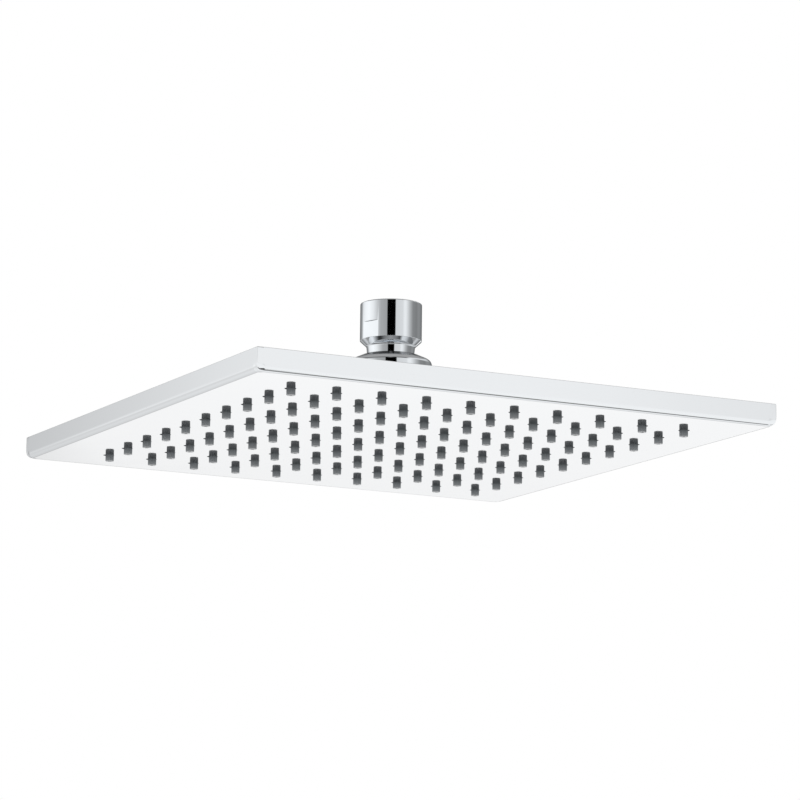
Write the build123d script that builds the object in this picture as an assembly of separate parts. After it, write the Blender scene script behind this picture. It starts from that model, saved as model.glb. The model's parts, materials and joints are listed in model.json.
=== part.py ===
"""Square shower head on a ball swivel, in millimetres.

The origin is the centre of the inlet's mouth, +Z points up out of the inlet, and the head hangs below it.
Heights are counted from the spray face, and every piece is moved down from the inlet's mouth when it is written.
"""
import os
from math import sqrt

from build123d import *

# The head: a flat square tray that is closed by a lid
HEAD_SIDE = 250.0
FACE_EDGE_RADIUS = 2.4
CORNER_RADIUS = 0.25
TOP_EDGE_RADIUS = 0.9
SIDE_WALL = 2.2
FACE_WALL = 2.0
CHAMBER_HEIGHT = 3.0
COVER_THICKNESS = 2.0
COVER_LEDGE = 1.1
COVER_CLEARANCE = 0.15
INNER_CORNER_RADIUS = 1.5

# The spray face: a square pattern of soft nozzles that stand through round holes
NOZZLES_PER_SIDE = 10
NOZZLE_PITCH = 21.3
NOZZLE_DIAMETER = 3.9
NOZZLE_TAPER = 0.04
NOZZLE_REACH = 2.8
NOZZLE_BORE = 1.1
HOLE_GAP = 0.5
MAT_THICKNESS = 1.2
MAT_SHRINK = 0.0024
MAT_CLEARANCE = 0.5

# The plate that presses the mat on the face, its screws, and the seal and ribs above it
PLATE_THICKNESS = 1.8
FEED_SLOT_WIDTH = 3.0
FEED_SLOT_OVERRUN = 4.0
CENTRE_BRIDGE = 8.0
POST_WALL = 1.35
POST_CLEARANCE = 0.4
POST_STEP = 4
SCREW_DIAMETER = 2.2
SCREW_HEAD_RIM = 1.2
SCREW_HEAD_HEIGHT = 1.2
SCREW_TIP_WALL = 0.9
PILOT_CLEARANCE = 0.05
SEAL_WIDTH = 3.5
SEAL_CLEARANCE = 0.6
RIB_WIDTH = 1.6
RIB_DEPTH = 1.4
RIB_STEP = 2
RIB_END_GAP = 18.0

# The swivel: a ball on the connector's neck, in a socket that stands on the head
NECK_TOP_DIAMETER = 22.0
NECK_FOOT_DIAMETER = 21.2
NECK_RISE = 12.8
NECK_ROOM = 1.6
BALL_LIP = 1.7
BALL_FOOT_RIM = 2.0
BALL_CLEARANCE = 0.1
WATERWAY_DIAMETER = 12.0
O_RING_SECTION = 2.0
O_RING_CLEARANCE = 0.05
O_RING_STANDOUT = 0.3
SOCKET_CLEARANCE = 0.1
SOCKET_WALL = 2.0
SOCKET_FLOOR = 5.0
SOCKET_BORE_DIAMETER = 15.0
SEAT_BORE_DIAMETER = 18.0
SEAT_FOOT_DEPTH = 1.35
SEAT_TOP_DROP = 4.7
LINER_FOOT_RISE = 3.1
LINER_HEIGHT = 2.2
THREAD_CLEARANCE = 0.1
FLANGE_THICKNESS = 3.0
FLANGE_CHAMFER = 0.6
GASKET_THICKNESS = 1.0
GASKET_MARGIN = 1.0
FOOT_WALL = 2.0
FOOT_CLEARANCE = 0.2
FOOT_STANDOUT = 0.1
LOCK_WASHER_THICKNESS = 0.5
LOCK_WASHER_RIM = 1.0
LOCK_NUT_THICKNESS = 1.5
LOCK_NUT_RIM = 3.5

# The domed cap that keeps the ball in its socket
CAP_WALL = 2.3
CAP_TOP_RISE = 9.3
CAP_FLARE = 0.7
CAP_CROWN_DROP = 1.9
CAP_SHOULDER_INSET = 1.6
CAP_SHOULDER_DROP = 4.3
CAP_FOOT_GAP = 0.2
CAP_THROAT_CLEARANCE = 0.3

# The inlet: a threaded cylinder with spanner flats and a shoulder down to the neck
THREAD_DIAMETER = 20.955
THREAD_DEPTH = 10.0
INLET_WALL = 3.5
INLET_LENGTH = 17.0
INLET_EDGE_RADIUS = 0.5
FLATS_CUT = 0.7
FLATS_LENGTH = 7.5
FLATS_TURN = 20.0
SHOULDER_DROP = 2.7
SHOULDER_EDGE_RADIUS = 0.2
SHOULDER_FILLET = 1.2

# What sits inside the inlet
WASHER_LEDGE = 0.9
WASHER_POCKET_DEPTH = 3.0
WASHER_THICKNESS = 2.0
WASHER_WIDTH = 3.3
INSERT_CLEARANCE = 0.1
SCREEN_THICKNESS = 0.6
SCREEN_OPENING = 1.3
SCREEN_BAR = 0.7
SCREEN_OPENINGS_PER_SIDE = 5
REGULATOR_LEDGE = 1.6
REGULATOR_HEIGHT = 4.4
REGULATOR_WALL = 1.2
REGULATOR_FLOOR = 1.4
REGULATOR_POST_DIAMETER = 6.2
REGULATOR_POST_HEIGHT = 2.2
REGULATOR_RING_SECTION = 2.0
REGULATOR_FEEDS = 6
REGULATOR_FEED_SIDE = 1.4


def sphere_rise(sphere_radius, outline_radius):
    """How far from the ball's centre a sphere round it narrows to a radius."""
    return sqrt(sphere_radius**2 - outline_radius**2)


# Radii of the swivel, from the neck outwards
neck_foot_radius = NECK_FOOT_DIAMETER / 2
throat_radius = neck_foot_radius + NECK_ROOM
ball_radius = throat_radius + BALL_LIP
running_radius = ball_radius + BALL_CLEARANCE
throat_sphere_radius = ball_radius + CAP_THROAT_CLEARANCE
o_ring_reach = ball_radius + O_RING_STANDOUT
socket_radius = o_ring_reach + SOCKET_CLEARANCE
socket_outer_radius = socket_radius + SOCKET_WALL
cap_inner_radius = socket_outer_radius + THREAD_CLEARANCE
cap_radius = cap_inner_radius + CAP_WALL
waterway_radius = WATERWAY_DIAMETER / 2
ball_foot_drop = sphere_rise(ball_radius, waterway_radius + BALL_FOOT_RIM)
seat_bore_radius = SEAT_BORE_DIAMETER / 2
seat_bore_drop = sphere_rise(running_radius, seat_bore_radius)
socket_bore_radius = SOCKET_BORE_DIAMETER / 2
foot_radius = socket_bore_radius + FOOT_WALL
lock_nut_half = foot_radius + LOCK_NUT_RIM

# Radii of the inlet
thread_radius = THREAD_DIAMETER / 2
inlet_radius = thread_radius + INLET_WALL
washer_pocket_radius = thread_radius - WASHER_LEDGE
regulator_pocket_radius = waterway_radius + REGULATOR_LEDGE

# Heights above the spray face, from the face upwards
plate_foot = FACE_WALL + MAT_THICKNESS
plate_top = plate_foot + PLATE_THICKNESS
cover_foot = plate_top + CHAMBER_HEIGHT
head_top = cover_foot + COVER_THICKNESS
flange_foot = head_top + GASKET_THICKNESS
flange_top = flange_foot + FLANGE_THICKNESS
lock_nut_top = cover_foot - LOCK_WASHER_THICKNESS
lock_nut_foot = lock_nut_top - LOCK_NUT_THICKNESS
seat_foot = flange_top + SOCKET_FLOOR
ball_height = seat_foot + SEAT_FOOT_DEPTH + seat_bore_drop
liner_foot = ball_height + LINER_FOOT_RISE
liner_top_rise = LINER_FOOT_RISE + LINER_HEIGHT
liner_top = ball_height + liner_top_rise
cap_top = ball_height + CAP_TOP_RISE
neck_top = ball_height + NECK_RISE
inlet_foot = neck_top + SHOULDER_DROP
inlet_top = inlet_foot + INLET_LENGTH
thread_foot = inlet_top - THREAD_DEPTH
washer_pocket_foot = thread_foot - WASHER_POCKET_DEPTH
screen_top = washer_pocket_foot + SCREEN_THICKNESS
regulator_foot = washer_pocket_foot - REGULATOR_HEIGHT

# Sides and places across the head
inner_side = HEAD_SIDE - 2 * SIDE_WALL
cover_recess_side = inner_side + 2 * COVER_LEDGE
mat_side = inner_side - 2 * MAT_CLEARANCE
seal_side = inner_side - 2 * SEAL_CLEARANCE
seal_inner_side = seal_side - 2 * SEAL_WIDTH
mat_pitch = NOZZLE_PITCH * (1 - MAT_SHRINK)
nozzle_radius = NOZZLE_DIAMETER / 2
screw_radius = SCREW_DIAMETER / 2
pilot_radius = screw_radius + PILOT_CLEARANCE
post_radius = pilot_radius + POST_WALL
post_reach = POST_STEP * NOZZLE_PITCH
post_places = [
    Pos(column * post_reach, row * post_reach)
    for column in (-1, 0, 1)
    for row in (-1, 0, 1)
    if (column, row) != (0, 0)
]


def turned(*curves):
    """The solid that a closed outline of radius and height sweeps round the Z axis."""
    edges = [edge for curve in curves for edge in curve.edges()]
    return revolve(Plane.XZ * make_face(edges), Axis.Z)


def ring(inner_radius, outer_radius, foot, top):
    """A flat ring between two heights."""
    corners = [(inner_radius, foot), (outer_radius, foot), (outer_radius, top), (inner_radius, top)]
    return turned(Polyline(*corners, close=True))


def block(sketch, foot, top):
    """A flat sketch raised from one height to another."""
    return Pos(0, 0, foot) * extrude(sketch, amount=top - foot)


def on_sphere(sphere_radius, rise):
    """The outline's point on a sphere round the ball's centre, at a rise above it."""
    return (sphere_rise(sphere_radius, rise), ball_height + rise)


def sphere_arc(sphere_radius, start_rise, end_rise):
    """The outline's arc on a sphere round the ball's centre."""
    rises = (start_rise, (start_rise + end_rise) / 2, end_rise)
    return ThreePointArc(*[on_sphere(sphere_radius, rise) for rise in rises])


def square_pattern(pitch, count):
    """Places in a square pattern that is centred on the axis."""
    return GridLocations(pitch, pitch, count, count).locations


def make_swivel_connector():
    """The inlet, its neck and the ball, turned in one piece, with two spanner flats milled on the inlet."""
    edge_height = inlet_top - INLET_EDGE_RADIUS
    edge_radius = inlet_radius - INLET_EDGE_RADIUS
    neck_foot_rise = sphere_rise(ball_radius, neck_foot_radius)
    groove_rise = O_RING_SECTION / 2 + O_RING_CLEARANCE
    groove_radius = o_ring_reach - O_RING_SECTION - O_RING_CLEARANCE
    ball_foot = ball_height - ball_foot_drop
    mouth = Line((thread_radius, inlet_top), (edge_radius, inlet_top))
    mouth_edge = RadiusArc((edge_radius, inlet_top), (inlet_radius, edge_height), INLET_EDGE_RADIUS)
    shoulder_and_neck = FilletPolyline(
        (inlet_radius, edge_height),
        (inlet_radius, inlet_foot),
        (NECK_TOP_DIAMETER / 2, neck_top),
        on_sphere(ball_radius, neck_foot_rise),
        radius=[SHOULDER_EDGE_RADIUS, SHOULDER_FILLET],
    )
    upper_ball = sphere_arc(ball_radius, neck_foot_rise, groove_rise)
    groove = Polyline(
        on_sphere(ball_radius, groove_rise),
        (groove_radius, ball_height + groove_rise),
        (groove_radius, ball_height - groove_rise),
        on_sphere(ball_radius, -groove_rise),
    )
    lower_ball = sphere_arc(ball_radius, -groove_rise, -ball_foot_drop)
    inside = Polyline(
        on_sphere(ball_radius, -ball_foot_drop),
        (waterway_radius, ball_foot),
        (waterway_radius, regulator_foot),
        (regulator_pocket_radius, regulator_foot),
        (regulator_pocket_radius, washer_pocket_foot),
        (washer_pocket_radius, washer_pocket_foot),
        (washer_pocket_radius, thread_foot),
        (thread_radius, thread_foot),
        (thread_radius, inlet_top),
    )
    body = turned(mouth, mouth_edge, shoulder_and_neck, upper_ball, groove, lower_ball, inside)
    kept_width = 2 * (inlet_radius - FLATS_CUT)
    chips = Circle(2 * inlet_radius) - Rectangle(kept_width, 4 * inlet_radius)
    return body - Rot(0, 0, FLATS_TURN) * block(chips, inlet_foot, inlet_foot + FLATS_LENGTH)


def make_inlet_washer():
    """The flat washer that the arm's end is screwed down on."""
    outer = washer_pocket_radius - INSERT_CLEARANCE
    return ring(outer - WASHER_WIDTH, outer, screen_top, screen_top + WASHER_THICKNESS)


def make_filter_screen():
    """A disc with a grid of square openings, kept under the washer."""
    disc = Circle(washer_pocket_radius - INSERT_CLEARANCE)
    opening = Rectangle(SCREEN_OPENING, SCREEN_OPENING)
    places = square_pattern(SCREEN_OPENING + SCREEN_BAR, SCREEN_OPENINGS_PER_SIDE)
    return block(disc - [place * opening for place in places], washer_pocket_foot, screen_top)


def make_flow_regulator():
    """A cup with a post in the middle and feeds through its floor, under the elastic ring."""
    outer = regulator_pocket_radius - INSERT_CLEARANCE
    inner = outer - REGULATOR_WALL
    post = REGULATOR_POST_DIAMETER / 2
    floor = regulator_foot + REGULATOR_FLOOR
    post_top = floor + REGULATOR_POST_HEIGHT
    outline = Polyline(
        (0, regulator_foot),
        (outer, regulator_foot),
        (outer, washer_pocket_foot),
        (inner, washer_pocket_foot),
        (inner, floor),
        (post, floor),
        (post, post_top),
        (0, post_top),
        close=True,
    )
    feed = Rectangle(REGULATOR_FEED_SIDE, REGULATOR_FEED_SIDE)
    places = PolarLocations((post + inner) / 2, REGULATOR_FEEDS).locations
    return turned(outline) - [block(place * feed, regulator_foot, floor) for place in places]


def make_regulator_ring():
    """The elastic ring that narrows the regulator's gap as the pressure rises."""
    section_radius = REGULATOR_RING_SECTION / 2
    ring_radius = REGULATOR_POST_DIAMETER / 2 + INSERT_CLEARANCE + section_radius
    return Pos(0, 0, regulator_foot + REGULATOR_FLOOR + section_radius) * Torus(ring_radius, section_radius)


def make_ball_o_ring():
    """The seal in the groove round the ball's waist."""
    section_radius = O_RING_SECTION / 2
    return Pos(0, 0, ball_height) * Torus(o_ring_reach - section_radius, section_radius)


def make_ball_seat():
    """A plastic ring under the ball with a spherical seat."""
    outer = socket_radius - SOCKET_CLEARANCE
    walls = Polyline(
        on_sphere(running_radius, -SEAT_TOP_DROP),
        (outer, ball_height - SEAT_TOP_DROP),
        (outer, seat_foot),
        (seat_bore_radius, seat_foot),
        on_sphere(running_radius, -seat_bore_drop),
    )
    return turned(walls, sphere_arc(running_radius, -seat_bore_drop, -SEAT_TOP_DROP))


def make_cap_liner():
    """The friction ring that is clamped between the cap and the socket's rim."""
    walls = Polyline(
        on_sphere(running_radius, liner_top_rise),
        (socket_outer_radius, liner_top),
        (socket_outer_radius, liner_foot),
        on_sphere(running_radius, LINER_FOOT_RISE),
    )
    return turned(walls, sphere_arc(running_radius, LINER_FOOT_RISE, liner_top_rise))


def make_retaining_cap():
    """The domed cap, open round the neck, with a ceiling that clamps the liner."""
    throat_rise = sphere_rise(throat_sphere_radius, throat_radius)
    crown = (cap_radius - CAP_SHOULDER_INSET, cap_top - CAP_CROWN_DROP)
    shoulder = (cap_radius, cap_top - CAP_SHOULDER_DROP)
    cap_foot = flange_top + CAP_FOOT_GAP
    crown_slope = Polyline(
        on_sphere(throat_sphere_radius, throat_rise), (throat_radius + CAP_FLARE, cap_top), crown
    )
    shoulder_arc = TangentArc(shoulder, crown, tangent=(0, 1))
    walls = Polyline(
        shoulder,
        (cap_radius, cap_foot),
        (cap_inner_radius, cap_foot),
        (cap_inner_radius, liner_top),
        on_sphere(throat_sphere_radius, liner_top_rise),
    )
    throat_arc = sphere_arc(throat_sphere_radius, liner_top_rise, throat_rise)
    return turned(crown_slope, shoulder_arc, walls, throat_arc)


def make_socket_body():
    """The socket for the ball and its seat, with a flange on the head and a threaded foot through it."""
    socket_foot = lock_nut_foot - FOOT_STANDOUT
    outline = Polyline(
        (socket_bore_radius, socket_foot),
        (foot_radius, socket_foot),
        (foot_radius, flange_foot),
        (cap_radius - FLANGE_CHAMFER, flange_foot),
        (cap_radius, flange_foot + FLANGE_CHAMFER),
        (cap_radius, flange_top),
        (socket_outer_radius, flange_top),
        (socket_outer_radius, liner_foot),
        (socket_radius, liner_foot),
        (socket_radius, seat_foot),
        (socket_bore_radius, seat_foot),
        close=True,
    )
    return turned(outline)


def make_socket_gasket():
    """The flat gasket between the flange and the rear cover."""
    return ring(foot_radius + FOOT_CLEARANCE, cap_radius - GASKET_MARGIN, head_top, flange_foot)


def make_lock_washer():
    """The washer under the rear cover."""
    return ring(foot_radius + FOOT_CLEARANCE, lock_nut_half + LOCK_WASHER_RIM, lock_nut_top, cover_foot)


def make_lock_nut():
    """The thin hexagon nut that pulls the socket down on the rear cover."""
    hexagon = RegularPolygon(lock_nut_half, 6, major_radius=False)
    return block(hexagon - Circle(foot_radius + THREAD_CLEARANCE), lock_nut_foot, lock_nut_top)


def make_rear_cover():
    """The lid, with a hole for the socket's foot and ribs across its inside."""
    side = cover_recess_side - 2 * COVER_CLEARANCE
    outline = RectangleRounded(side, side, INNER_CORNER_RADIUS)
    lid = block(outline - Circle(foot_radius + FOOT_CLEARANCE), cover_foot, head_top)
    rib_length = seal_inner_side - 2 * RIB_END_GAP
    rib_offset = RIB_STEP * NOZZLE_PITCH
    rib = Rectangle(rib_length, RIB_WIDTH)
    ribs = [Rot(0, 0, turn) * Pos(0, rib_offset) * rib for turn in (0, 90, 180, 270)]
    return lid + block(Sketch() + ribs, cover_foot - RIB_DEPTH, cover_foot)


def make_chamber_seal():
    """The square loop of cord that closes the water chamber at its edge."""
    outline = RectangleRounded(seal_side, seal_side, INNER_CORNER_RADIUS)
    return block(outline - Rectangle(seal_inner_side, seal_inner_side), plate_top, cover_foot)


def make_backing_plate():
    """The plate over the mat, with two feed slots for each row of nozzles and holes for its screws."""
    last_row = (NOZZLES_PER_SIDE - 1) / 2 * NOZZLE_PITCH
    slot_start = CENTRE_BRIDGE / 2
    slot_end = last_row + FEED_SLOT_OVERRUN
    slot = Rectangle(slot_end - slot_start, FEED_SLOT_WIDTH)
    slots = [
        Pos(way * (slot_start + slot_end) / 2, row * NOZZLE_PITCH - last_row) * slot
        for row in range(NOZZLES_PER_SIDE)
        for way in (-1, 1)
    ]
    screw_holes = [place * Circle(screw_radius + POST_CLEARANCE) for place in post_places]
    outline = RectangleRounded(mat_side, mat_side, INNER_CORNER_RADIUS)
    return block(outline - slots - screw_holes, plate_foot, plate_top)


def make_backing_plate_screws():
    """The screws that hold the plate on the tray's posts."""
    shank = block(Circle(screw_radius), SCREW_TIP_WALL, plate_top)
    head = block(Circle(screw_radius + SCREW_HEAD_RIM), plate_top, plate_top + SCREW_HEAD_HEIGHT)
    screw = shank + head
    return Compound([place * screw for place in post_places])


def make_nozzle_mat():
    """The soft sheet with its nozzles, each with a jet right through it."""
    jet_radius = NOZZLE_BORE / 2
    places = square_pattern(mat_pitch, NOZZLES_PER_SIDE)
    post_holes = [place * Circle(post_radius + POST_CLEARANCE) for place in post_places]
    jets = [place * Circle(jet_radius) for place in places]
    outline = RectangleRounded(mat_side, mat_side, INNER_CORNER_RADIUS)
    sheet = block(outline - post_holes - jets, FACE_WALL, plate_foot)
    nozzle_outline = Polyline(
        (jet_radius, -NOZZLE_REACH),
        (nozzle_radius - NOZZLE_TAPER, -NOZZLE_REACH),
        (nozzle_radius, FACE_WALL),
        (jet_radius, FACE_WALL),
        close=True,
    )
    nozzle = turned(nozzle_outline)
    return sheet + [place * nozzle for place in places]


def make_front_shell():
    """The tray: a face with its holes, rounded into low side walls that carry a ledge for the lid."""
    slab = block(Rectangle(HEAD_SIDE, HEAD_SIDE), 0, head_top)
    slab = fillet(slab.faces().sort_by(Axis.Z)[0].edges(), FACE_EDGE_RADIUS)
    slab = fillet(slab.faces().sort_by(Axis.Z)[-1].edges(), TOP_EDGE_RADIUS)
    slab = fillet(slab.edges().filter_by(Axis.Z), CORNER_RADIUS)
    hollow = RectangleRounded(inner_side, inner_side, INNER_CORNER_RADIUS)
    recess = RectangleRounded(cover_recess_side, cover_recess_side, INNER_CORNER_RADIUS)
    hole = Circle(nozzle_radius + HOLE_GAP)
    holes = Sketch() + [place * hole for place in square_pattern(NOZZLE_PITCH, NOZZLES_PER_SIDE)]
    tray = slab - block(hollow, FACE_WALL, cover_foot) - block(recess, cover_foot, head_top)
    tray = tray - block(holes, 0, FACE_WALL)
    post = block(Circle(post_radius), FACE_WALL, plate_foot)
    pilot = block(Circle(pilot_radius), SCREW_TIP_WALL, plate_foot)
    tray = tray + [place * post for place in post_places]
    return tray - [place * pilot for place in post_places]


PIECES = {
    "swivel_connector": make_swivel_connector,
    "inlet_washer": make_inlet_washer,
    "filter_screen": make_filter_screen,
    "flow_regulator": make_flow_regulator,
    "regulator_ring": make_regulator_ring,
    "ball_o_ring": make_ball_o_ring,
    "ball_seat": make_ball_seat,
    "retaining_cap": make_retaining_cap,
    "cap_liner": make_cap_liner,
    "socket_body": make_socket_body,
    "socket_gasket": make_socket_gasket,
    "lock_washer": make_lock_washer,
    "lock_nut": make_lock_nut,
    "rear_cover": make_rear_cover,
    "chamber_seal": make_chamber_seal,
    "backing_plate": make_backing_plate,
    "backing_plate_screws": make_backing_plate_screws,
    "nozzle_mat": make_nozzle_mat,
    "front_shell": make_front_shell,
}

os.makedirs("parts", exist_ok=True)
for name, make in PIECES.items():
    export_step(Pos(0, 0, -inlet_top) * make(), f"parts/{name}.step")
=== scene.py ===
# %% [markdown]
# # A square shower head in chrome
# The part is a flat square head with a grid of soft nozzles, hung on a ball swivel below a threaded inlet.
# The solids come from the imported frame, in metres, with the origin at the inlet's mouth and +Z up. Here the
# pieces that show get finer shapes, and every piece gets its finish.

# %% Load the frame
import json
from math import atan, cos, pi, radians, sin, sqrt

import bmesh
import bpy
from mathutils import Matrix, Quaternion, Vector


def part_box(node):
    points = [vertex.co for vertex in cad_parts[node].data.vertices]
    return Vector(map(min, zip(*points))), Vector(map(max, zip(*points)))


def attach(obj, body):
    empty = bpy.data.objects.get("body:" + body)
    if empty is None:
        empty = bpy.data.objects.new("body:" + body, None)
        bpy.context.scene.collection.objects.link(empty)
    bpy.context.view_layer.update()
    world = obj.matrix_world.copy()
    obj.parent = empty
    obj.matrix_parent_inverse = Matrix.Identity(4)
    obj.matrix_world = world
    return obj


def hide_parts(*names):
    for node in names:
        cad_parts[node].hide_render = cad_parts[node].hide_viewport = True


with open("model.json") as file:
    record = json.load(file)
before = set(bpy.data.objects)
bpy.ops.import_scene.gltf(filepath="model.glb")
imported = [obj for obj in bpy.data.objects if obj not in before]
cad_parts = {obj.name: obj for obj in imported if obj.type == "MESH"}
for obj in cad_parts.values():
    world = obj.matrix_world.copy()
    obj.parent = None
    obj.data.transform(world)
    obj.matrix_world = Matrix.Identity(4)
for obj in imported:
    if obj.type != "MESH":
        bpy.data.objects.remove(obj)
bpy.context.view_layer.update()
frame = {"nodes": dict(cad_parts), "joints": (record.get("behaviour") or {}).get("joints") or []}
nodes = frame["nodes"]
MM = 0.001
bpy.context.scene.view_settings.view_transform = "Standard"

# %% [markdown]
# ## The camera
# The photograph was taken with a long lens from the left and a little below the face, so the edges of the
# square run almost parallel. A camera could be turned by hand until it fits. Here its place and the point
# it looks at are given in metres, because the frame has the real size, and a small roll levels the picture
# as in the photograph.

# %% Place the camera
CAMERA_PLACE = Vector((-0.76424, -1.48881, -0.35560))
CAMERA_AIM = Vector((0.00232, -0.00524, -0.04446))
CAMERA_ROLL = 0.67
CAMERA_LENS = 170.195
SENSOR_WIDTH = 36
NEAREST_VIEW = 0.05

bpy.ops.object.select_all(action="DESELECT")
bpy.ops.object.camera_add(location=CAMERA_PLACE)
camera = bpy.context.object
camera.name = "photo_camera"
camera.data.lens = CAMERA_LENS
camera.data.sensor_width = SENSOR_WIDTH
camera.data.clip_start = NEAREST_VIEW
camera.rotation_mode = "QUATERNION"
aim = (CAMERA_AIM - CAMERA_PLACE).to_track_quat("-Z", "Y")
camera.rotation_quaternion = aim @ Quaternion((0, 0, 1), radians(CAMERA_ROLL))
bpy.context.scene.camera = camera
print("camera:", round((CAMERA_AIM - CAMERA_PLACE).length, 3), "m from the head")

# %% [markdown]
# ## Tools for nodes
# The room, the floor and every finish are built from nodes. In the node editor each one would be added and
# wired by hand. The same few kinds come back all the time, so each kind gets a small helper, which keeps
# the later cells short.

# %% Helpers for nodes
def link(tree, source, socket, target, target_socket):
    """Joins a node's output to another node's input."""
    tree.links.new(source.outputs[socket], target.inputs[target_socket])


def grey(value):
    """A grey as a colour with full opacity."""
    return (value, value, value, 1)


def new_span(tree, source, result=(0, 1)):
    """A node that maps one span of values onto another."""
    node = tree.nodes.new("ShaderNodeMapRange")
    node.inputs["From Min"].default_value, node.inputs["From Max"].default_value = source
    node.inputs["To Min"].default_value, node.inputs["To Max"].default_value = result
    return node


def new_blend(tree):
    """A node that blends two colours."""
    node = tree.nodes.new("ShaderNodeMix")
    node.data_type = "RGBA"
    return node


def new_math(tree, operation):
    """A node for one step of arithmetic."""
    node = tree.nodes.new("ShaderNodeMath")
    node.operation = operation
    return node


def new_shiny(tree):
    """A node that is one for rays of the camera, mirrors and clear pieces, and zero for all others."""
    rays = tree.nodes.new("ShaderNodeLightPath")
    mirrored = new_math(tree, "MAXIMUM")
    shiny = new_math(tree, "MAXIMUM")
    link(tree, rays, "Is Glossy Ray", mirrored, 0)
    link(tree, rays, "Is Transmission Ray", mirrored, 1)
    link(tree, mirrored, "Value", shiny, 0)
    link(tree, rays, "Is Camera Ray", shiny, 1)
    return shiny


print("node helpers ready")

# %% [markdown]
# ## The studio
# Chrome has almost no colour of its own: it shows what stands around it. In the photograph that is a white
# room, with grey screens at the sides, a dark gap behind the camera, a dark room above it and a dark table
# below. A ring of cards could be modelled, but two ramps of greys round the horizon, one low and one high,
# do the same in the world and are simple to adjust. The camera sees plain white, shiny surfaces see the
# ramp, and dull surfaces get an even soft light.

# %% Light the room
HORIZON = (
    (-180, 0.50), (-140, 0.52), (-132, 0.73), (-130, 0.84), (-128, 0.98), (-115, 1.05), (-90, 1.08),
    (-70, 0.92), (-55, 0.68), (-38, 0.44), (-15, 0.38), (-13, 0), (16.5, 0), (18, 0.72), (45, 0.78),
    (50, 0.91), (57, 0.93), (60, 0.86), (64, 0.78), (76, 0.50), (90, 0.27), (110, 0.24), (125, 0.33),
    (150, 0.42), (180, 0.50),
)
UPPER_ROOM = (
    (-180, 0.40), (-160, 0.45), (-140, 0.90), (-112, 0.90), (-100, 0.04), (-10, 0.04), (0, 0.25),
    (10, 0.04), (46, 0.04), (60, 0.85), (140, 0.85), (160, 0.45), (180, 0.40),
)
UPPER_START = (0.25, 0.45)
CEILING_START = (0.50, 0.60)
CEILING = 0.38
COOL = (0.98, 1, 1.012)
CAMERA_BEARING = 117.3
DULL_LIGHT = 0.62


def cool_ramp(tree, levels):
    """A ramp of slightly blue greys once round the horizon."""
    node = tree.nodes.new("ShaderNodeValToRGB")
    stops = node.color_ramp.elements
    stops[0].position, stops[1].position = 0, 1
    for degrees, level in levels[1:-1]:
        stops.new(degrees / 360 + 0.5)
    for stop, (degrees, level) in zip(stops, levels):
        stop.color = (*[level * part for part in COOL], 1)
    return node


world = bpy.data.worlds.new("studio")
bpy.context.scene.world = world
world.use_nodes = True
tree = world.node_tree
tree.nodes.clear()
place = tree.nodes.new("ShaderNodeTexCoord")
turn = tree.nodes.new("ShaderNodeVectorRotate")
turn.rotation_type = "Z_AXIS"
turn.inputs["Angle"].default_value = radians(CAMERA_BEARING)
axes = tree.nodes.new("ShaderNodeSeparateXYZ")
bearing = new_math(tree, "ARCTAN2")
share = new_span(tree, (-pi, pi))
low_ramp = cool_ramp(tree, HORIZON)
high_ramp = cool_ramp(tree, UPPER_ROOM)
height = new_span(tree, UPPER_START)
room = new_blend(tree)
overhead = new_span(tree, CEILING_START)
top_room = new_blend(tree)
top_room.inputs["B"].default_value = grey(CEILING)
seen = new_blend(tree)
seen.inputs["B"].default_value = grey(1)
rays = tree.nodes.new("ShaderNodeLightPath")
shiny = new_shiny(tree)
dull_sky = tree.nodes.new("ShaderNodeBackground")
dull_sky.inputs["Color"].default_value = grey(1)
dull_sky.inputs["Strength"].default_value = DULL_LIGHT
seen_sky = tree.nodes.new("ShaderNodeBackground")
either = tree.nodes.new("ShaderNodeMixShader")
world_out = tree.nodes.new("ShaderNodeOutputWorld")
link(tree, place, "Generated", turn, "Vector")
link(tree, turn, "Vector", axes, "Vector")
link(tree, axes, "Y", bearing, 0)
link(tree, axes, "X", bearing, 1)
link(tree, bearing, "Value", share, "Value")
link(tree, share, "Result", low_ramp, "Fac")
link(tree, share, "Result", high_ramp, "Fac")
link(tree, axes, "Z", height, "Value")
link(tree, height, "Result", room, "Factor")
link(tree, low_ramp, "Color", room, "A")
link(tree, high_ramp, "Color", room, "B")
link(tree, axes, "Z", overhead, "Value")
link(tree, overhead, "Result", top_room, "Factor")
link(tree, room, "Result", top_room, "A")
link(tree, top_room, "Result", seen, "A")
link(tree, rays, "Is Camera Ray", seen, "Factor")
link(tree, seen, "Result", seen_sky, "Color")
link(tree, shiny, "Value", either, "Fac")
link(tree, dull_sky, "Background", either, 1)
link(tree, seen_sky, "Background", either, 2)
link(tree, either, "Shader", world_out, "Surface")
print("room:", len(HORIZON), "greys round the horizon and", len(UPPER_ROOM), "above it")

# %% [markdown]
# ## The floor
# The head hangs in the air, so the floor lies well below it and below the camera. A plain grey plane would
# show as a dark horizon in the chrome face. So the plane shines faintly for the camera and for reflections
# and stays dull for everything else, which keeps the head's soft shadow. Seen from below it lets the view
# through. Dark cards with soft edges on it stand for the table top that draws a fine line along the head's
# lower edge. A bright card far behind lights the face, and a weaker one nearer lights the rounding below
# the left wall.

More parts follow.
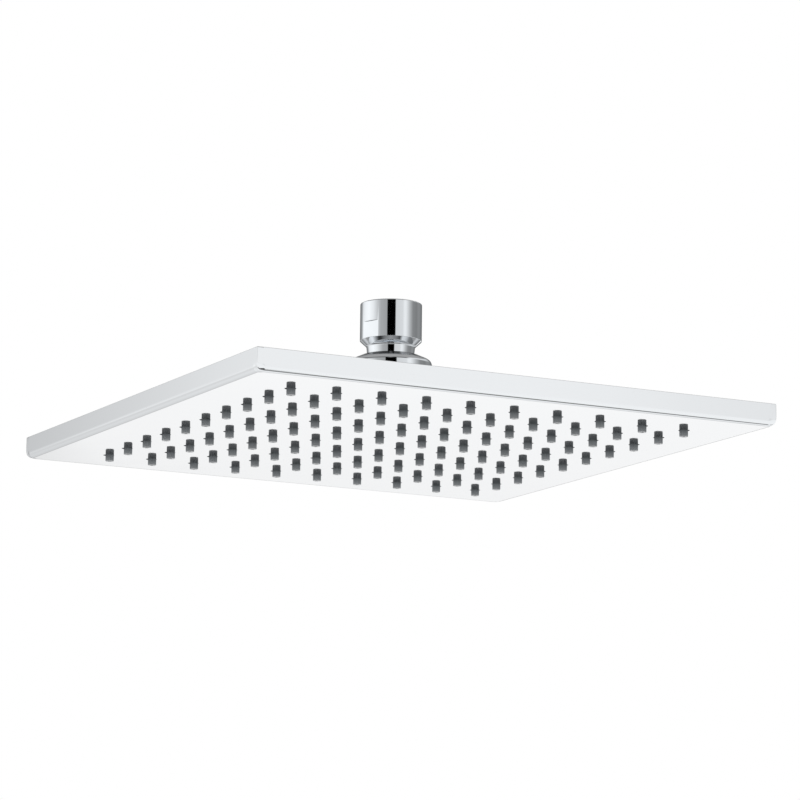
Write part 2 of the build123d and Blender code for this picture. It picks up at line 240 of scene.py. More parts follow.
# %% Lay the floor
FLOOR_HEIGHT = -0.62
FLOOR_SIDE = 16
FLOOR_GREY = 0.9
FLOOR_TINT = (0.975, 1, 1.015, 1)
FLOOR_GLOW = (0.61, 0.862)
FLOOR_SLOPE = (0.06, -0.085, 0)
FLOOR_FADE = (-0.2066, -0.1008)
CARD_HEIGHT = -0.612
CARD_SPOTS = (
    ("card_below_corner", (-0.13, -0.40), (0.33, 0.33), 1, 0.01),
    ("card_below_right", (0.26, -0.15), (0.38, 0.16), 0.75, 0.01),
    ("card_far_back", (2.012, 2.469), (1.5, 1.5), 0.5, 2.9),
    ("card_behind_left", (0.42, 1.42), (0.5, 0.5), 0.3, 1.35),
)
CARD_EDGE = 0.3

bpy.ops.object.select_all(action="DESELECT")
bpy.ops.mesh.primitive_plane_add(size=FLOOR_SIDE, location=(0, 0, FLOOR_HEIGHT))
floor = bpy.context.object
floor.name = "floor"
pale = bpy.data.materials.new("pale_floor")
pale.use_nodes = True
tree = pale.node_tree
tree.nodes.clear()
dull = tree.nodes.new("ShaderNodeBsdfDiffuse")
dull.inputs["Color"].default_value = grey(FLOOR_GREY)
glow = tree.nodes.new("ShaderNodeEmission")
glow.inputs["Color"].default_value = FLOOR_TINT
spot = tree.nodes.new("ShaderNodeNewGeometry")
slope = tree.nodes.new("ShaderNodeVectorMath")
slope.operation = "DOT_PRODUCT"
slope.inputs[1].default_value = FLOOR_SLOPE
fade = new_span(tree, FLOOR_FADE, FLOOR_GLOW)
shiny = new_shiny(tree)
amount = new_math(tree, "MULTIPLY")
lit = tree.nodes.new("ShaderNodeMixShader")
clear = tree.nodes.new("ShaderNodeBsdfTransparent")
side = tree.nodes.new("ShaderNodeNewGeometry")
either = tree.nodes.new("ShaderNodeMixShader")
floor_out = tree.nodes.new("ShaderNodeOutputMaterial")
link(tree, spot, "Position", slope, 0)
link(tree, slope, "Value", fade, "Value")
link(tree, shiny, "Value", amount, 0)
link(tree, fade, "Result", amount, 1)
link(tree, amount, "Value", lit, "Fac")
link(tree, dull, "BSDF", lit, 1)
link(tree, glow, "Emission", lit, 2)
link(tree, side, "Backfacing", either, "Fac")
link(tree, lit, "Shader", either, 1)
link(tree, clear, "BSDF", either, 2)
link(tree, either, "Shader", floor_out, "Surface")
floor.data.materials.append(pale)
print("floor:", FLOOR_SIDE, "m wide")

# %% Lay the cards
def soft_card(name, spot, reach, strength, glow_level):
    """An oval card that only reflections see, with an edge that fades out."""
    material = bpy.data.materials.new(name)
    material.use_nodes = True
    tree = material.node_tree
    tree.nodes.clear()
    place = tree.nodes.new("ShaderNodeTexCoord")
    spread = tree.nodes.new("ShaderNodeTexGradient")
    spread.gradient_type = "SPHERICAL"
    edge = new_span(tree, (0, CARD_EDGE), (0, strength))
    clear = tree.nodes.new("ShaderNodeBsdfTransparent")
    glow = tree.nodes.new("ShaderNodeEmission")
    glow.inputs["Strength"].default_value = glow_level
    either = tree.nodes.new("ShaderNodeMixShader")
    card_out = tree.nodes.new("ShaderNodeOutputMaterial")
    link(tree, place, "Object", spread, "Vector")
    link(tree, spread, "Fac", edge, "Value")
    link(tree, edge, "Result", either, "Fac")
    link(tree, clear, "BSDF", either, 1)
    link(tree, glow, "Emission", either, 2)
    link(tree, either, "Shader", card_out, "Surface")
    bpy.ops.object.select_all(action="DESELECT")
    bpy.ops.mesh.primitive_circle_add(vertices=64, radius=1, fill_type="NGON", location=(*spot, CARD_HEIGHT))
    card = bpy.context.object
    card.name = name
    card.scale = (*reach, 1)
    card.data.materials.append(material)
    card.visible_camera = False
    card.visible_diffuse = False
    card.visible_shadow = False


for card in CARD_SPOTS:
    soft_card(*card)
print("cards:", len(CARD_SPOTS))

# %% [markdown]
# ## The lamp
# The world lights the dull pieces evenly, which leaves no shadow with a direction. A stronger world would only
# make them flat, so one wide lamp hangs above. Mirrors don't see it, because it would show as a white square.

# %% Hang a soft lamp
LAMP_PLACE = Vector((-0.7, -0.5, 1.6))
LAMP_SIZE = 1.4
LAMP_WATTS = 9

bpy.ops.object.light_add(type="AREA", location=LAMP_PLACE)
lamp = bpy.context.object
lamp.name = "soft_lamp"
lamp.data.size = LAMP_SIZE
lamp.data.energy = LAMP_WATTS
lamp.rotation_euler = (-LAMP_PLACE).to_track_quat("-Z", "Y").to_euler()
lamp.visible_glossy = False
print("stage: floor", -FLOOR_HEIGHT, "m below the inlet, one lamp of", LAMP_WATTS, "W")

# %% [markdown]
# ## Finishes
# Seven finishes dress the part: two chromes, the grey silicone of the nozzles, black rubber, white plastic,
# steel wire and brass. A finish of one flat colour looks like paint, so each has a little unevenness in its
# colour, its gloss and its surface, from noise that is read in metres on the piece itself. Real chrome
# mirrors well at a glancing angle. In the photograph the mirrored half of each nozzle is darker than the
# nozzle, so the specular tint lowers the mirror there on purpose, and the bright card on the far floor
# keeps the face white.

# %% Make the finishes
NOISE_DETAIL = 4
NOISE_SPAN = (0.3, 0.7)
HEAD_GLANCE = 0.5
CONNECTOR_GLANCE = 0.35


def new_finish(name, metal, roughness, colours, scales, grain_depth):
    """A finish whose colour, gloss and grain vary a little, each by noise of its own scale."""
    material = bpy.data.materials.new(name)
    material.use_nodes = True
    tree = material.node_tree
    shader = tree.nodes["Principled BSDF"]
    shader.inputs["Metallic"].default_value = metal
    place = tree.nodes.new("ShaderNodeTexCoord")
    noises = []
    for scale in scales:
        noise = tree.nodes.new("ShaderNodeTexNoise")
        noise.inputs["Scale"].default_value = scale
        noise.inputs["Detail"].default_value = NOISE_DETAIL
        link(tree, place, "Object", noise, "Vector")
        noises.append(noise)
    colour_noise, gloss_noise, grain_noise = noises
    blend = new_blend(tree)
    blend.inputs["A"].default_value = (*colours[0], 1)
    blend.inputs["B"].default_value = (*colours[1], 1)
    link(tree, colour_noise, "Fac", blend, "Factor")
    link(tree, blend, "Result", shader, "Base Color")
    gloss = new_span(tree, NOISE_SPAN, roughness)
    link(tree, gloss_noise, "Fac", gloss, "Value")
    link(tree, gloss, "Result", shader, "Roughness")
    bump = tree.nodes.new("ShaderNodeBump")
    bump.inputs["Strength"].default_value = 1
    bump.inputs["Distance"].default_value = grain_depth
    link(tree, grain_noise, "Fac", bump, "Height")
    link(tree, bump, "Normal", shader, "Normal")
    print("finish:", name)
    return material


head_chrome = new_finish(
    "head_chrome",
    metal=1,
    roughness=(0.035, 0.06),
    colours=((0.90, 0.905, 0.915), (0.93, 0.932, 0.938)),
    scales=(9, 60, 14),
    grain_depth=0.000004,
)
connector_chrome = new_finish(
    "connector_chrome",
    metal=1,
    roughness=(0.025, 0.05),
    colours=((0.85, 0.87, 0.895), (0.89, 0.905, 0.92)),
    scales=(60, 200, 90),
    grain_depth=0.0000005,
)
for chrome, glance in ((head_chrome, HEAD_GLANCE), (connector_chrome, CONNECTOR_GLANCE)):
    chrome.node_tree.nodes["Principled BSDF"].inputs["Specular Tint"].default_value = grey(glance)
nozzle_silicone = new_finish(
    "nozzle_silicone",
    metal=0,
    roughness=(0.42, 0.56),
    colours=((0.54, 0.55, 0.56), (0.66, 0.665, 0.675)),
    scales=(400, 900, 3000),
    grain_depth=0.00001,
)
seal_rubber = new_finish(
    "seal_rubber",
    metal=0,
    roughness=(0.55, 0.7),
    colours=((0.016, 0.016, 0.017), (0.028, 0.028, 0.03)),
    scales=(500, 900, 2500),
    grain_depth=0.00002,
)
inner_plastic = new_finish(
    "inner_plastic",
    metal=0,
    roughness=(0.35, 0.5),
    colours=((0.66, 0.67, 0.66), (0.72, 0.72, 0.71)),
    scales=(120, 300, 1800),
    grain_depth=0.00001,
)
screen_steel = new_finish(
    "screen_steel",
    metal=1,
    roughness=(0.2, 0.34),
    colours=((0.56, 0.57, 0.58), (0.66, 0.66, 0.66)),
    scales=(700, 1200, 4000),
    grain_depth=0.000005,
)
nut_brass = new_finish(
    "nut_brass",
    metal=1,
    roughness=(0.24, 0.36),
    colours=((0.72, 0.55, 0.28), (0.80, 0.63, 0.35)),
    scales=(150, 400, 2000),
    grain_depth=0.00001,
)

# %% [markdown]
# ## The nozzles' painted light and shade
# Silicone lets light through, so a nozzle looks pale at its free tip and dark where it enters the face.
# Real scattering under the surface would take long to render for so small a thing, so the light and shade are
# painted into the colour by two blends: one along the height, from painted shade at the face to painted light
# near the tip, and one by the way the surface faces, a painted floor light, because the flat end that looks
# down at the bright floor is the palest.

# %% Paint light and shade on the nozzles along their length
# Painted shade at the root and painted light near the tip stand in for light through the silicone.
ROOT_PAINTED_SHADE = (0.158, 0.172, 0.182, 1)
TIP_PAINTED_LIGHT = (0.34, 0.355, 0.365, 1)
SHADE_POWER = 1.5
FLOOR_LIT_FACING = (-0.35, -0.9)
face_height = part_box("front_shell")[0].z
tip_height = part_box("nozzle_mat")[0].z

tree = nozzle_silicone.node_tree
shader = tree.nodes["Principled BSDF"]
pale_colour = shader.inputs["Base Color"].links[0].from_node
place = tree.nodes.new("ShaderNodeTexCoord")
axes = tree.nodes.new("ShaderNodeSeparateXYZ")
length = new_span(tree, (face_height, tip_height))
tip_share = new_math(tree, "POWER")
tip_share.inputs[1].default_value = SHADE_POWER
shade = new_blend(tree)
shade.inputs["A"].default_value = ROOT_PAINTED_SHADE
shade.inputs["B"].default_value = TIP_PAINTED_LIGHT
# Painted floor light: the flat end that faces down to the bright floor gets the pale colour.
facing = tree.nodes.new("ShaderNodeSeparateXYZ")
floor_light_share = new_span(tree, FLOOR_LIT_FACING)
painted_floor_light = new_blend(tree)
link(tree, place, "Object", axes, "Vector")
link(tree, axes, "Z", length, "Value")
link(tree, length, "Result", tip_share, 0)
link(tree, tip_share, "Value", shade, "Factor")
link(tree, place, "Normal", facing, "Vector")
link(tree, facing, "Z", floor_light_share, "Value")
link(tree, floor_light_share, "Result", painted_floor_light, "Factor")
link(tree, shade, "Result", painted_floor_light, "A")
link(tree, pale_colour, "Result", painted_floor_light, "B")
link(tree, painted_floor_light, "Result", shader, "Base Color")
print("nozzles shaded over", round((face_height - tip_height) / MM, 2), "mm")

# %% [markdown]
# ## Tools for the pieces
# Every new piece starts as a primitive and is shaped in edit mode, as by hand. By hand, edges are clicked;
# in a script they are chosen by where they lie, so a small helper selects what passes a test and nothing
# else. Turned pieces could be spun from a drawn profile. Here a circle is extruded upwards and scaled from
# corner to corner of the profile, because each step is then easy to follow, and the rings stay where bevels
# need them.

# %% Helpers for edit mode
TOUCH = 0.01 * MM


def start(name, add, **settings):
    """Adds a primitive by itself, puts its place in its mesh and opens it in edit mode."""
    bpy.ops.object.select_all(action="DESELECT")
    add(**settings)
    piece = bpy.context.object
    piece.name = name
    piece.data.name = name
    bpy.ops.object.transform_apply(location=True, rotation=True, scale=True)
    bpy.ops.object.mode_set(mode="EDIT")
    return piece


def pick(kind, test):
    """Selects only the corners, edges or faces that pass a test, and counts them."""
    bpy.ops.mesh.select_mode(type=kind)
    bpy.ops.mesh.select_all(action="DESELECT")
    mesh = bmesh.from_edit_mesh(bpy.context.object.data)
    parts = {"VERT": mesh.verts, "EDGE": mesh.edges, "FACE": mesh.faces}[kind]
    chosen = [part for part in parts if test(part)]
    for part in chosen:
        part.select_set(True)
    bmesh.update_edit_mesh(bpy.context.object.data)
    return len(chosen)


def at_level(height):
    """A test for edges and faces that lie at a height."""
    return lambda part: all(abs(corner.co.z - height) < TOUCH for corner in part.verts)


def on_ring(radius, height):
    """A test for the edges of a ring round the Z axis."""

    def lies_on(corner):
        return abs(corner.co.xy.length - radius) < TOUCH and abs(corner.co.z - height) < TOUCH

    return lambda edge: all(lies_on(corner) for corner in edge.verts)


def round_ring(corner, width, steps):
    """Bevels the ring at a corner of a turned profile."""
    pick("EDGE", on_ring(corner[0] * MM, corner[1] * MM))
    bpy.ops.mesh.bevel(offset=width * MM, segments=steps, affect="EDGES", clamp_overlap=False)


def turn_up(name, profile, sides):
    """Extrudes a circle along a closed profile in millimetres, and stays in edit mode."""
    radius, height = profile[0]
    piece = start(
        name,
        bpy.ops.mesh.primitive_circle_add,
        vertices=sides,
        radius=radius * MM,
        location=(0, 0, height * MM),
    )
    bpy.ops.mesh.select_mode(type="EDGE")
    bpy.ops.mesh.select_all(action="SELECT")
    for next_radius, next_height in profile[1:]:
        rise = (0, 0, (next_height - height) * MM)
        growth = next_radius / radius
        bpy.ops.mesh.extrude_edges_move(TRANSFORM_OT_translate={"value": rise})
        bpy.ops.transform.resize(value=(growth, growth, 1), center_override=(0, 0, 0))
        radius, height = next_radius, next_height
    bpy.ops.mesh.select_all(action="DESELECT")
    bpy.ops.mesh.select_non_manifold(
        use_wire=False,
        use_multi_face=False,
        use_non_contiguous=False,
        use_verts=False,
    )
    bpy.ops.mesh.bridge_edge_loops()
    bpy.ops.mesh.select_all(action="SELECT")
    bpy.ops.mesh.normals_make_consistent(inside=False)
    return piece


def apply_modifier(piece, kind, **settings):
    """Adds a modifier to a piece and applies it."""
    bpy.context.view_layer.objects.active = piece
    modifier = piece.modifiers.new(kind.lower(), kind)
    for setting, value in settings.items():
        setattr(modifier, setting, value)
    bpy.ops.object.modifier_apply(modifier=modifier.name)


def repeat(piece, count, step):
    """Copies a piece in a row, each copy a step further."""
    apply_modifier(
        piece,
        "ARRAY",
        count=count,
        use_relative_offset=False,
        use_constant_offset=True,
        constant_offset_displace=step,
    )


def cut_with(piece, tool):
    """Takes a tool's shape out of a piece and removes the tool."""
    apply_modifier(piece, "BOOLEAN", object=tool, operation="DIFFERENCE", solver="EXACT")
    bpy.data.objects.remove(tool)


def join_to(piece, others):
    """Makes other pieces part of a piece."""
    bpy.ops.object.select_all(action="DESELECT")
    for other in (*others, piece):
        other.select_set(True)
    bpy.context.view_layer.objects.active = piece
    bpy.ops.object.join()


def smooth(piece, angle=30, even=False):
    """Smooths a piece up to an angle, and keeps its large faces flat where asked."""
    bpy.ops.object.select_all(action="DESELECT")
    piece.select_set(True)
    bpy.context.view_layer.objects.active = piece
    bpy.ops.object.shade_smooth_by_angle(angle=radians(angle))
    if even:
        apply_modifier(piece, "WEIGHTED_NORMAL", keep_sharp=True, weight=100)


def hand_over(piece, body, slot, finish, *stood_for):
    """Gives a finished piece its finish and its body, and hides the nodes that it stands for."""
    piece.data.materials.clear()
    piece.data.materials.append(finish)
    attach(piece, body)
    if stood_for:
        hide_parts(*stood_for)
    print("piece:", piece.name, len(piece.data.polygons), "faces")


# %% [markdown]
# ## The spray tray
# On the real head the face and the side walls are one chromed shell. Its lower edge is softly rounded, its
# upright corners are almost sharp, and its top has a step for the lid. It could be five plates, but
# mirrored light runs round the edges without a break, so one block is hollowed by inset and extrude. One
# bevel with a weight for each kind of edge then rounds it, which also blends the corners where three edges
# meet.

# %% Hollow the tray
SIDE_WALL = 2.2 * MM
FACE_WALL = 2.0 * MM
LID_THICKNESS = 2.0 * MM
LID_LEDGE = 1.1 * MM
EDGE_ROUNDING = 2.4 * MM
EDGE_STEPS = 8
CORNER_SHARE = 0.03
RIM_SHARE = 0.085
INNER_SHARE = 0.6

shell_low, shell_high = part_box("front_shell")
face, rim = shell_low.z, shell_high.z
half_side = shell_high.x
tray = start(
    "spray_tray",
    bpy.ops.mesh.primitive_cube_add,
    size=1,
    location=(0, 0, (face + rim) / 2),
    scale=(2 * half_side, 2 * half_side, rim - face),
)
pick("FACE", at_level(rim))
bpy.ops.mesh.inset(thickness=SIDE_WALL - LID_LEDGE)
bpy.ops.mesh.extrude_region_move(TRANSFORM_OT_translate={"value": (0, 0, -LID_THICKNESS)})
bpy.ops.mesh.inset(thickness=LID_LEDGE)
hollow_drop = face + FACE_WALL - rim + LID_THICKNESS
bpy.ops.mesh.extrude_region_move(TRANSFORM_OT_translate={"value": (0, 0, hollow_drop)})


def is_outer(edge):
    """Both ends lie on the outside of the tray."""
    return all(max(abs(corner.co.x), abs(corner.co.y)) > half_side - TOUCH for corner in edge.verts)


def is_upright(edge):
    """The edge runs up along a corner."""
    return abs(edge.verts[0].co.z - edge.verts[1].co.z) > MM


EDGE_WEIGHTS = (
    (1, lambda edge: is_outer(edge) and at_level(face)(edge)),
    (CORNER_SHARE, lambda edge: is_outer(edge) and is_upright(edge)),
    (RIM_SHARE, lambda edge: is_outer(edge) and at_level(rim)(edge)),
    (INNER_SHARE, lambda edge: is_upright(edge) and not is_outer(edge)),
)
for weight, test in EDGE_WEIGHTS:
    print("weight", weight, "on", pick("EDGE", test), "edges")
    bpy.ops.transform.edge_bevelweight(value=weight)
bpy.ops.object.mode_set(mode="OBJECT")
apply_modifier(
    tray,
    "BEVEL",
    width=EDGE_ROUNDING,
    segments=EDGE_STEPS,
    limit_method="WEIGHT",
    use_clamp_overlap=False,
)

# %% [markdown]
# ## The corners
# Polishing has worn the four lower corners round, and in the photograph one of them shows as a small black
# wedge, the mirror image of the dark table. The upper corners are worn a little too. A wider bevel would
# soften the upright edges as well. So cuts are laid near each corner and only the corners' own points are
# smoothed.

# %% Wear the corners
CORNER_CUTS = (0.5 * MM, 1.0 * MM, 1.6 * MM, 2.3 * MM, 3.1 * MM, 4.0 * MM)
CORNER_LEVELS = (2.9 * MM, 3.6 * MM, 8.0 * MM, 8.6 * MM)
LOWER_WEAR = (3.8 * MM, 25)
UPPER_WEAR = (3.0 * MM, 16)
LOWER_TOP = 3.3 * MM
UPPER_FOOT = 7.8 * MM
WEAR_STEP = 0.5

bpy.ops.object.mode_set(mode="EDIT")
for inset in CORNER_CUTS:
    for axis in ((1, 0, 0), (-1, 0, 0), (0, 1, 0), (0, -1, 0)):
        bpy.ops.mesh.select_all(action="SELECT")
        bpy.ops.mesh.bisect(plane_co=[part * (half_side - inset) for part in axis], plane_no=axis)
for rise in CORNER_LEVELS:
    bpy.ops.mesh.select_all(action="SELECT")
    bpy.ops.mesh.bisect(plane_co=(0, 0, face + rise), plane_no=(0, 0, 1))


def is_inside(corner):
    """The point belongs to the hollow of the tray."""
    hollow = half_side - SIDE_WALL + LID_LEDGE + TOUCH
    above = corner.co.z > face + FACE_WALL - TOUCH
    return above and abs(corner.co.x) < hollow and abs(corner.co.y) < hollow


def in_corner(corner, reach):
    """The point lies on the outside, near an upright edge."""
    inner = half_side - reach
    return abs(corner.co.x) > inner and abs(corner.co.y) > inner and not is_inside(corner)


def is_lower(corner):
    """The point lies on one of the lower corners."""
    return corner.co.z < face + LOWER_TOP and in_corner(corner, LOWER_WEAR[0])


def is_upper(corner):
    """The point lies on one of the upper corners."""
    return corner.co.z > face + UPPER_FOOT and in_corner(corner, UPPER_WEAR[0])


for test, rounds in ((is_lower, LOWER_WEAR[1]), (is_upper, UPPER_WEAR[1])):
    print("worn points:", pick("VERT", test))
    bpy.ops.mesh.vertices_smooth(factor=WEAR_STEP, repeat=rounds)
bpy.ops.object.mode_set(mode="OBJECT")

# %% [markdown]
# ## The holes in the face
# Each nozzle stands in a round hole with a narrow dark gap round it. Holes could be drawn into the face
# first, but a hundred of them are quicker to drill: one cylinder is repeated ten by ten and taken out of
# the face in one go. A fine bevel breaks the edge of each hole, because a chromed edge is never knife
# sharp.

# %% Drill the face
NOZZLES_PER_SIDE = 10
HOLE_PITCH = 21.3 * MM
HOLE_RADIUS = 2.45 * MM
HOLE_SIDES = 32
HOLE_EASE = 0.12 * MM
DRILL_LENGTH = 3 * MM

first_hole = -(NOZZLES_PER_SIDE - 1) / 2 * HOLE_PITCH
drill = start(
    "drill",
    bpy.ops.mesh.primitive_cylinder_add,
    vertices=HOLE_SIDES,
    radius=HOLE_RADIUS,
    depth=DRILL_LENGTH,
    location=(first_hole, first_hole, face + FACE_WALL / 2),
)
bpy.ops.object.mode_set(mode="OBJECT")
repeat(drill, NOZZLES_PER_SIDE, (HOLE_PITCH, 0, 0))
repeat(drill, NOZZLES_PER_SIDE, (0, HOLE_PITCH, 0))
cut_with(tray, drill)
print("tray after drilling:", len(tray.data.polygons), "faces")


def from_hole(corner):
    """How far a corner lies from the middle of the nearest hole."""
    steps = [(place - first_hole) / HOLE_PITCH for place in corner.co.xy]
    return Vector([step - round(step) for step in steps]).length * HOLE_PITCH


def is_hole_edge(edge):
    """The edge belongs to a hole's rim on the face."""
    return at_level(face)(edge) and all(abs(from_hole(corner) - HOLE_RADIUS) < TOUCH for corner in edge.verts)


bpy.ops.object.mode_set(mode="EDIT")
print("hole edges:", pick("EDGE", is_hole_edge))
bpy.ops.mesh.bevel(offset=HOLE_EASE, segments=2, affect="EDGES", clamp_overlap=False)
bpy.ops.object.mode_set(mode="OBJECT")

# %% [markdown]
# ## The posts inside the tray
# Eight small posts stand on the back of the face and take the screws of the backing plate. Their pilot
# holes go a little way into the face, so pegs are taken out of it first. Then one post is turned for each
# place and joined to the tray, as such posts are moulded with it.

# %% Stand the posts
POST_REACH = 85.2
POST_RADIUS = 2.5
PILOT_RADIUS = 1.15
POST_HEIGHT = 1.2
POST_SIDES = 24
PILOT_FOOT = 0.9 * MM
post_foot = (face + FACE_WALL) / MM
post_profile = [
    (PILOT_RADIUS, post_foot),
    (POST_RADIUS, post_foot),
    (POST_RADIUS, post_foot + POST_HEIGHT),
    (PILOT_RADIUS, post_foot + POST_HEIGHT),
]
post_places = [(column, row) for column in (-1, 0, 1) for row in (-1, 0, 1) if (column, row) != (0, 0)]


def post_pegs(name, radius, foot, top):
    """Pegs at the places of the posts, as one object."""
    pegs = []
    for column, row in post_places:
        pegs.append(
            start(
                name,
                bpy.ops.mesh.primitive_cylinder_add,
                vertices=POST_SIDES,
                radius=radius,
                depth=top - foot,
                location=(column * POST_REACH * MM, row * POST_REACH * MM, (foot + top) / 2),
            )
        )
        bpy.ops.object.mode_set(mode="OBJECT")
    join_to(pegs[0], pegs[1:])
    return pegs[0]


cut_with(tray, post_pegs("pilots", PILOT_RADIUS * MM, face + PILOT_FOOT, face + FACE_WALL + MM))
posts = []
for column, row in post_places:
    posts.append(turn_up("post", post_profile, POST_SIDES))
    bpy.ops.transform.translate(value=(column * POST_REACH * MM, row * POST_REACH * MM, 0))
    bpy.ops.object.mode_set(mode="OBJECT")
join_to(tray, posts)
smooth(tray, even=True)
hand_over(tray, "head", "head_chrome", head_chrome, "front_shell")

# %% [markdown]
# ## The lid
# A flat lid closes the tray at the back and carries the swivel. A plain box would do for its outline, but
# its top edge catches a thin line of light where it meets the tray, so that edge is eased. Four ribs
# stiffen it inside.

# %% Close the back
LID_CORNER = 1.5 * MM
LID_EASE = 0.25 * MM
FOOT_HOLE = 9.7 * MM
FOOT_HOLE_SIDES = 64
RIB_OFFSET = 42.6 * MM
RIB_LENGTH = 201.4 * MM
RIB_WIDTH = 1.6 * MM
RIB_DEPTH = 1.4 * MM
RIB_EASE = 0.3 * MM

lid_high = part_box("rear_cover")[1]
lid = start(
    "back_lid",
    bpy.ops.mesh.primitive_cube_add,
    size=1,
    location=(0, 0, lid_high.z - LID_THICKNESS / 2),
    scale=(2 * lid_high.x, 2 * lid_high.y, LID_THICKNESS),
)
pick("EDGE", is_upright)
bpy.ops.mesh.bevel(offset=LID_CORNER, segments=6, affect="EDGES", clamp_overlap=False)
pick("EDGE", at_level(lid_high.z))
bpy.ops.mesh.bevel(offset=LID_EASE, segments=3, affect="EDGES", clamp_overlap=False)
bpy.ops.object.mode_set(mode="OBJECT")
bore = start(
    "bore",
    bpy.ops.mesh.primitive_cylinder_add,
    vertices=FOOT_HOLE_SIDES,
    radius=FOOT_HOLE,
    depth=2 * LID_THICKNESS,
    location=(0, 0, lid_high.z - LID_THICKNESS / 2),
)
bpy.ops.object.mode_set(mode="OBJECT")
cut_with(lid, bore)
rib_height = lid_high.z - LID_THICKNESS - RIB_DEPTH / 2
ribs = []
for place, size in (
    ((0, RIB_OFFSET), (RIB_LENGTH, RIB_WIDTH)),
    ((0, -RIB_OFFSET), (RIB_LENGTH, RIB_WIDTH)),
    ((RIB_OFFSET, 0), (RIB_WIDTH, RIB_LENGTH)),
    ((-RIB_OFFSET, 0), (RIB_WIDTH, RIB_LENGTH)),
):
    ribs.append(
        start(
            "rib",
            bpy.ops.mesh.primitive_cube_add,
            size=1,
            location=(*place, rib_height),
            scale=(*size, RIB_DEPTH),
        )
    )
    pick("EDGE", at_level(rib_height - RIB_DEPTH / 2))
    bpy.ops.mesh.bevel(offset=RIB_EASE, segments=2, affect="EDGES")
    bpy.ops.object.mode_set(mode="OBJECT")
join_to(lid, ribs)
smooth(lid, even=True)
hand_over(lid, "head", "head_chrome", head_chrome, "rear_cover")

# %% [markdown]
# ## The nozzles
# The nozzles are soft silicone, moulded in one piece with a sheet behind the face, and can be rubbed clean
# with a thumb. One nozzle is a short tapered tube with a rounded tip and a jet through it. It is turned
# once with few sides, since a hundred copies add up, and repeated on a slightly narrower pitch than the
# holes, because silicone shrinks after moulding. The mat also lies a little to one side in its holes, as
# the dark gaps beside the nozzles show in the photograph.

# %% Mould the nozzles
NOZZLE_PITCH = 21.24888 * MM
NOZZLE_SHIFT = Vector((0.13 * MM, -0.07 * MM, 0))
NOZZLE_SIDES = 20
JET_RADIUS = 0.55
FUNNEL_DEPTH = 0.35
FUNNEL_WIDENING = 0.25
TIP_REACH = 2.8
TIP_RADIUS = 1.91
ROOT_RADIUS = 1.95
TIP_ROUNDING = 0.2
SHEET_THICKNESS = 1.2 * MM

face_mm = face / MM
root = face_mm + FACE_WALL / MM
tip = face_mm - TIP_REACH
nozzle = turn_up(
    "nozzle_mat_moulded",
    [
        (JET_RADIUS, root),
        (JET_RADIUS, tip + FUNNEL_DEPTH),
        (JET_RADIUS + FUNNEL_WIDENING, tip),
        (TIP_RADIUS, tip),
        (ROOT_RADIUS, root),
    ],
    NOZZLE_SIDES,
)
round_ring((TIP_RADIUS, tip), TIP_ROUNDING, 3)
first_nozzle = -(NOZZLES_PER_SIDE - 1) / 2 * NOZZLE_PITCH
bpy.ops.mesh.select_all(action="SELECT")
bpy.ops.transform.translate(value=Vector((first_nozzle, first_nozzle, 0)) + NOZZLE_SHIFT)
bpy.ops.object.mode_set(mode="OBJECT")
repeat(nozzle, NOZZLES_PER_SIDE, (NOZZLE_PITCH, 0, 0))
repeat(nozzle, NOZZLES_PER_SIDE, (0, NOZZLE_PITCH, 0))
print("nozzles:", len(nozzle.data.polygons), "faces")

# %% Lay the sheet behind them
POST_HOLE = 2.9 * MM

mat_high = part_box("nozzle_mat")[1]
sheet_place = (0, 0, mat_high.z - SHEET_THICKNESS / 2)
sheet = start(
    "sheet",
    bpy.ops.mesh.primitive_cube_add,
    size=1,
    location=sheet_place,
    scale=(2 * mat_high.x, 2 * mat_high.y, SHEET_THICKNESS),
)
pick("EDGE", lambda edge: abs(edge.verts[0].co.z - edge.verts[1].co.z) > SHEET_THICKNESS / 2)
bpy.ops.mesh.bevel(offset=LID_CORNER, segments=5, affect="EDGES", clamp_overlap=False)
bpy.ops.object.mode_set(mode="OBJECT")
jets = start(
    "jets",
    bpy.ops.mesh.primitive_cylinder_add,
    vertices=NOZZLE_SIDES,
    radius=JET_RADIUS * MM,
    depth=2 * SHEET_THICKNESS,
    location=Vector((first_nozzle, first_nozzle, sheet_place[2])) + NOZZLE_SHIFT,
)
bpy.ops.object.mode_set(mode="OBJECT")
repeat(jets, NOZZLES_PER_SIDE, (NOZZLE_PITCH, 0, 0))
repeat(jets, NOZZLES_PER_SIDE, (0, NOZZLE_PITCH, 0))
sheet_foot = sheet_place[2] - SHEET_THICKNESS
join_to(jets, [post_pegs("clearings", POST_HOLE, sheet_foot, sheet_foot + 2 * SHEET_THICKNESS)])
cut_with(sheet, jets)
join_to(nozzle, [sheet])
smooth(nozzle, 40)
hand_over(nozzle, "head", "nozzle_silicone", nozzle_silicone, "nozzle_mat")

# %% [markdown]
# ## The connector
# The inlet, its neck and the ball are turned from one bar of brass and chromed. A lathe cuts rings, so the
# piece is raised ring by ring from its profile. The mouth and the shoulder get their roundings by bevel,
# and two spanner flats are milled across the lower half of the inlet by taking boxes away.

# %% Turn the connector
TURNED_SIDES = 128
MOUTH_RADIUS = 10.4775
INLET_RADIUS = 13.9775
INLET_FOOT = -17.0
NECK_TOP = (11.0, -19.7)
NECK_FOOT_RADIUS = 10.6
BALL_RADIUS = 13.9
BALL_STEPS = 10
GROOVE_RISE = 1.05
GROOVE_RADIUS = 12.15
WATERWAY_RADIUS = 6.0
BALL_FOOT_RADIUS = 8.0
REGULATOR_POCKET = (7.6, -17.4)
WASHER_POCKET = (9.5775, -13.0)
THREAD_FOOT = -10.0
MOUTH_ROUNDING = 0.5
BORE_EASE = 0.45
SHOULDER_EASE = 0.12
NECK_FILLET = 0.57

ball_height = frame["joints"][0]["pos_m"][2] / MM


